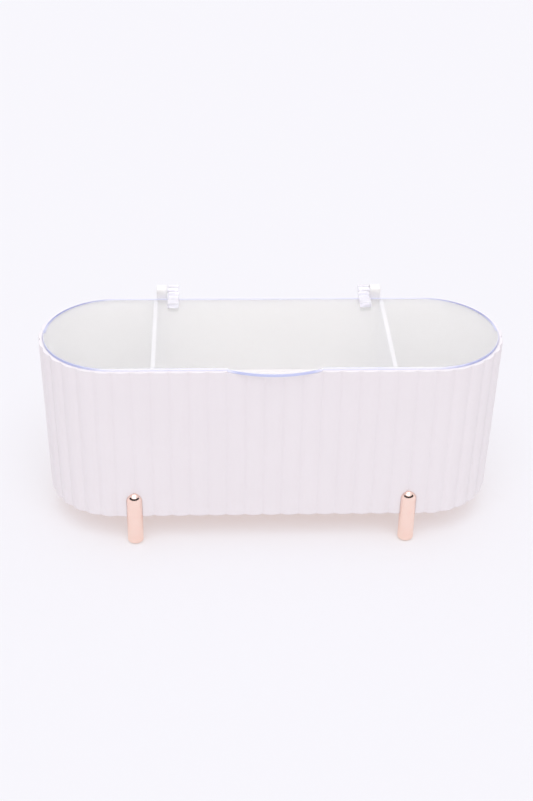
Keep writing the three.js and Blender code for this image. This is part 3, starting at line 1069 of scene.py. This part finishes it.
bmesh.ops.recalc_face_normals(lid, faces=lid.faces)
soften(lid, [e for e in lid.edges if abs(e.verts[0].co.z - e.verts[1].co.z) < WELD], EDGE_SOFT)
for face in lid.faces:
    face.material_index = 0 if abs(face.normal.z) > FLAT else 1
top = max((face for face in lid.faces if face.normal.z > FLAT), key=lambda face: face.calc_area())
front_strip = []
# The back half of the inset ring takes the painted blue line.
for face in bmesh.ops.inset_region(lid, faces=[top], thickness=PAINTED_LINE_WIDTH)["faces"]:
    if face.calc_center_median().y > 0:
        face.material_index = 2
    else:
        front_strip.append(face)
bmesh.ops.dissolve_faces(lid, faces=[top] + front_strip, use_verts=False)
finish_piece("lid_sheet", lid, [lid_face, lid_edge_painted, lid_back_line_painted], "lid", "lid_panel")

# %% [markdown]
# ## The hinges
#
# Each clear arm is a flat foot that rises into an eye round the pin. A thin film of cement bonds the foot
# to the lid. A headed steel pin is held by the white ear, its head sunk flush, and the eye turns on it.

# %% Hinge arms and pins
ARM_FOOT_THICKNESS = 2.0
ARM_FILLET = 1.5
ARM_TOE_ROUND = 0.5
ARM_EDGE = 0.2
CEMENT_FILM = 0.03
BORE = 1.2
PIN_RADIUS = 0.9
PIN_END_ROUND = 0.3
HEAD_UNDER_ROUND = 0.1
HEAD_TOP_ROUND = 0.35
arm_radius = arm_high.z - pivot_z
foot_low = lid_high.z + CEMENT_FILM
under_angle = math.pi + math.asin((pivot_z - foot_low) / arm_radius)
over_angle = math.radians(480)
foot_top = lid_high.z + ARM_FOOT_THICKNESS


def eye_point(angle):
    return (0, pivot_y + arm_radius * math.cos(angle), pivot_z + arm_radius * math.sin(angle))


def hinge_arm(side):
    bm = bmesh.new()
    wire(
        bm,
        [
            (*eye_point(over_angle), 0),
            (0, pivot_y - 2 * arm_radius, foot_top, ARM_FILLET),
            (0, arm_low.y, foot_top, ARM_TOE_ROUND),
            (0, arm_low.y, foot_low, 0),
            (*eye_point(under_angle), 0),
        ],
    )
    bmesh.ops.spin(
        bm,
        geom=bmesh.ops.create_vert(bm, co=eye_point(under_angle))["vert"],
        cent=(0, pivot_y, pivot_z),
        axis=(1, 0, 0),
        angle=over_angle - under_angle,
        steps=40,
    )
    xs = sorted((side * arm_low.x, side * arm_high.x))
    arm = prism(bm, *xs, edge_round=ARM_EDGE)
    return carve(arm, [rod_along_x(BORE, xs[0] - 2, xs[1] + 2, pivot_y, pivot_z)])


def hinge_pin(side):
    corners = [
        (0, pin_low.x, 0),
        (PIN_RADIUS, pin_low.x, PIN_END_ROUND),
        (PIN_RADIUS, head_seat_x, 0),
        (head_radius, head_seat_x, HEAD_UNDER_ROUND),
        (head_radius, pin_high.x, HEAD_TOP_ROUND),
        (0, pin_high.x, 0),
    ]
    along_x = Matrix.Translation((0, pivot_y, pivot_z)) @ Matrix.Rotation(side * UPRIGHT, 4, "Y")
    return moved(turned(corners, steps=40, segments=4), along_x)


for side, side_name in ((-1, "left"), (1, "right")):
    arm_node, pin_node = f"hinge_arm_{side_name}", f"hinge_pin_{side_name}"
    finish_piece(f"clear_arm_{side_name}", hinge_arm(side), [arm_acrylic], "lid", arm_node)
    finish_piece(f"steel_pin_{side_name}", hinge_pin(side), [pin_steel], "tub", pin_node)

# %% [markdown]
# ## The legs
#
# A leg is a round post with a domed top. From the floor of the tub upwards its back is cut flat, so it
# sits in the seat in the wall, and the shoulder that this leaves carries the tub. A pan-head screw
# pulls it against the wall from inside. Its end is recessed for a silicone pad.

# %% Legs, screws and pads
SCREW_HEAD_RADIUS = 2.3
SCREW_HEAD_HEIGHT = 1.3
SCREW_RADIUS = 1.2
SCREW_TIP_Y = 32.2
THREAD_PITCH = 0.5
THREAD_DEPTH = 0.18
CROSS_LONG = 2.4
CROSS_WIDE = 0.6
CROSS_DEEP = 0.7
LEG_FOOT_ROUND = 0.6
PILOT_DEPTH_Y = 2.3
PAD_RECESS = 2.7
PAD_RING_DEPTH = 0.12


def leg_place(x, side):
    """From a leg's own axis, with the wall towards +Y, to its place on the front or back wall."""
    return Matrix.Translation((x, side * leg_y, 0)) @ Matrix.Rotation(math.pi if side > 0 else 0, 4, "Z")


def leg_post():
    wide = leg_radius + 1
    flat_y = leg_y - LEG_SEAT_Y
    pad_top = corners_mm("foot_pad_front_right")[1].z
    recess = turned(
        [(0, -1, 0), (PAD_RECESS, -1, 0), (PAD_RECESS, pad_top, 0), (0, pad_top, 0)], steps=48
    )
    pilot = turned(
        [
            (0, -CUT_PAST, 0),
            (SCREW_HOLE_RADIUS, -CUT_PAST, 0),
            (SCREW_HOLE_RADIUS, PILOT_DEPTH_Y, 0),
            (0, PILOT_DEPTH_Y, 0),
        ],
        steps=32,
    )
    pilot = moved(pilot, Matrix.Translation((0, 0, SCREW_Z)) @ wall_turn(-1))
    back = block((-wide, flat_y, bottom_z), (wide, wide, leg_high.z + 1))
    return carve(post(leg_radius, leg_low.z, LEG_FOOT_ROUND), [back, recess, pilot])


def pan_screw():
    """A screw about Z, with its head's underside at zero and its tip pointing down."""
    tip = SPOT_FACE_Y - SCREW_TIP_Y
    root = SCREW_RADIUS - THREAD_DEPTH
    corners = [(0, tip, 0), (root, tip, 0)]
    turns = int(-tip / THREAD_PITCH) - 1
    for i in range(turns):
        z = tip + THREAD_PITCH * (i + 0.5)
        corners += [(SCREW_RADIUS, z, 0), (root, z + THREAD_PITCH / 2, 0)]
    corners += [
        (root, 0, 0),
        (SCREW_HEAD_RADIUS, 0, 0.1),
        (SCREW_HEAD_RADIUS, SCREW_HEAD_HEIGHT, 0.6),
        (0, SCREW_HEAD_HEIGHT, 0),
    ]
    half_long, half_wide = CROSS_LONG / 2, CROSS_WIDE / 2
    low, high = SCREW_HEAD_HEIGHT - CROSS_DEEP, SCREW_HEAD_HEIGHT + 1
    cross = [
        block((-half_long, -half_wide, low), (half_long, half_wide, high)),
        block((-half_wide, -half_long, low), (half_wide, half_long, high)),
    ]
    return carve(turned(corners, steps=40, segments=5), cross)


def foot_pad():
    low, high = corners_mm("foot_pad_front_right")
    radius = (high.x - low.x) / 2
    return turned(
        [
            (0, low.z, 0),
            (radius * 0.45, low.z, 0),
            (radius * 0.5, low.z + PAD_RING_DEPTH, 0),
            (radius * 0.6, low.z + PAD_RING_DEPTH, 0),
            (radius * 0.65, low.z, 0),
            (radius, low.z, 0.2),
            (radius, high.z, 0.05),
            (0, high.z, 0),
        ],
        steps=48,
        segments=4,
    )


for side, end_name in ((-1, "front"), (1, "back")):
    for x, side_name in ((-leg_x, "left"), (leg_x, "right")):
        where = f"{end_name}_{side_name}"
        place = leg_place(x, side)
        into_wall = Matrix.Translation((x, side * SPOT_FACE_Y, SCREW_Z)) @ wall_turn(-side)
        finish_piece(
            f"plated_leg_{where}", moved(leg_post(), place), [rose_gold], "tub", f"leg_{where}"
        )
        finish_piece(
            f"pan_screw_{where}",
            moved(pan_screw(), into_wall),
            [screw_zinc],
            "tub",
            f"leg_screw_{where}",
        )
        finish_piece(
            f"silicone_pad_{where}",
            moved(foot_pad(), place),
            [silicone],
            "tub",
            f"foot_pad_{where}",
        )

# %% [markdown]
# ## Ground and light
#
# The box stands on a light table: a milky white sheet, lit a little from below, so that the shadow under
# the box stays pale and warm. The main light is a broad, high one from the front. It is a sun lamp with a
# wide angle, which lights the whole table evenly. The walls of a white studio fill in from all round,
# warmer near the ground and cooler overhead.
#
# What a mirror shows matters as much as what lights the white plastic. Mirrors see the white walls, a
# soft box overhead, a pale panel behind the box that veils the lid with its reflection, and a dark band
# behind the camera, as the unlit end of a studio is. That band is what gives the plated legs their edges.

# %% Light table
GROUND_RADIUS = 5.0
TABLE_LIGHT = "#B9C8D3"
TABLE_SHADE = "#B8C7D2"
TABLE_GLOW = "#AC968A"
ground_material, tree, point = start_material("milky_table")
cloud = add(tree, "ShaderNodeTexNoise", {"Scale": 1 / 0.8, "Detail": 3.0}, {"Vector": point})
sheet_tint = add(
    tree,
    "ShaderNodeMix",
    {MIX_A: linear(TABLE_LIGHT), MIX_B: linear(TABLE_SHADE)},
    {"Factor": cloud.outputs[0]},
    data_type="RGBA",
)
end_material(
    tree,
    add(
        tree,
        "ShaderNodeBsdfPrincipled",
        {
            "Roughness": 0.9,
            "Specular IOR Level": 0.0,
            "Emission Color": linear(TABLE_GLOW),
            "Emission Strength": 1.0,
        },
        {"Base Color": sheet_tint.outputs[MIX_OUT]},
    ),
)
ground_mesh = bmesh.new()
bmesh.ops.create_circle(ground_mesh, cap_ends=True, segments=96, radius=GROUND_RADIUS)
ground = loose_object("ground", ground_mesh)
ground.data.materials.append(ground_material)
ground.location.z = cad_low.z
print("ground at", round(ground.location.z, 4))

# %% Studio walls
WALLS_SEEN = "#F7F6FC"
WALLS_LOW = "#D7CBC9"
WALLS_HIGH = "#EEF0F6"
FILL_STRENGTH = 1.0
world = bpy.data.worlds.new("white_studio")
bpy.context.scene.world = world
world.use_nodes = True
tree = world.node_tree
tree.nodes.clear()
seen = add(tree, "ShaderNodeBackground", {"Color": linear(WALLS_SEEN), "Strength": 1.0})
towards = add(tree, "ShaderNodeTexCoord").outputs["Generated"]
height = add(tree, "ShaderNodeSeparateXYZ", links={"Vector": towards})
climb = add(tree, "ShaderNodeMapRange", {"From Min": 0.0, "From Max": 0.9}, {"Value": height.outputs["Z"]})
fill_tint = add(
    tree,
    "ShaderNodeMix",
    {MIX_A: linear(WALLS_LOW), MIX_B: linear(WALLS_HIGH)},
    {"Factor": climb.outputs[0]},
    data_type="RGBA",
)
fill = add(tree, "ShaderNodeBackground", {"Strength": FILL_STRENGTH}, {"Color": fill_tint.outputs[MIX_OUT]})
ray = add(tree, "ShaderNodeLightPath")
either = add(
    tree,
    "ShaderNodeMath",
    links={0: ray.outputs["Is Camera Ray"], 1: ray.outputs["Is Glossy Ray"]},
    operation="MAXIMUM",
)
looked_at = add(
    tree,
    "ShaderNodeMath",
    links={0: either.outputs[0], 1: ray.outputs["Is Transmission Ray"]},
    operation="MAXIMUM",
)
walls = add(
    tree,
    "ShaderNodeMixShader",
    links={0: looked_at.outputs[0], 1: fill.outputs[0], 2: seen.outputs[0]},
)
add(tree, "ShaderNodeOutputWorld", links={"Surface": walls.outputs[0]})


# %% Lamps
def lamp(name, kind, place, aim_at, hidden_from, **settings):
    """A lamp at a place, turned to a point, that some kinds of ray don't see."""
    data = bpy.data.lights.new(name, kind)
    for key, value in settings.items():
        setattr(data, key, value)
    made = bpy.data.objects.new(name, data)
    made.location = place
    made.rotation_euler = (Vector(aim_at) - Vector(place)).to_track_quat("-Z", "Y").to_euler()
    for ray_kind in hidden_from:
        setattr(made, f"visible_{ray_kind}", False)
    bpy.context.scene.collection.objects.link(made)
    return made


MAIN_HEIGHT = math.radians(62)
main_from = Vector((0, -math.cos(MAIN_HEIGHT), math.sin(MAIN_HEIGHT)))
lamp(
    "main_light",
    "SUN",
    main_from,
    (0, 0, 0),
    ("camera", "glossy"),
    energy=1.04,
    angle=math.radians(45),
)
lamp(
    "soft_box",
    "AREA",
    (-0.05, -0.42, 1.3),
    (0, 0, 0),
    ("camera", "diffuse", "transmission"),
    energy=9.0,
    shape="SQUARE",
    size=0.9,
)
lamp(
    "back_panel",
    "AREA",
    (0, 1.7, 1.05),
    (0, 0, 0.09),
    ("camera", "diffuse", "transmission"),
    energy=8.0,
    shape="RECTANGLE",
    size=1.8,
    size_y=1.1,
)

# %% Dark band
BAND_RADIUS = 1.6
BAND_LOW, BAND_HIGH = 0.45, 1.35
BAND_SPREAD = math.radians(170)
band_mesh = bmesh.new()
start = -UPRIGHT - BAND_SPREAD / 2
foot = Vector((math.cos(start), math.sin(start), 0)) * BAND_RADIUS
wire(band_mesh, [(foot.x, foot.y, BAND_LOW, 0), (foot.x, foot.y, BAND_HIGH, 0)])
bmesh.ops.spin(
    band_mesh,
    geom=band_mesh.verts[:] + band_mesh.edges[:],
    cent=(0, 0, 0),
    axis=(0, 0, 1),
    angle=BAND_SPREAD,
    steps=48,
)
band = loose_object("dark_band", band_mesh)
dark, tree, _ = start_material("unlit_studio")
unlit = add(tree, "ShaderNodeBsdfPrincipled", {"Base Color": linear("#0C0A09"), "Roughness": 1.0})
end_material(tree, unlit)
band.data.materials.append(dark)
for ray_kind in ("camera", "diffuse", "transmission", "volume_scatter", "shadow"):
    setattr(band, f"visible_{ray_kind}", False)
print("studio ready")
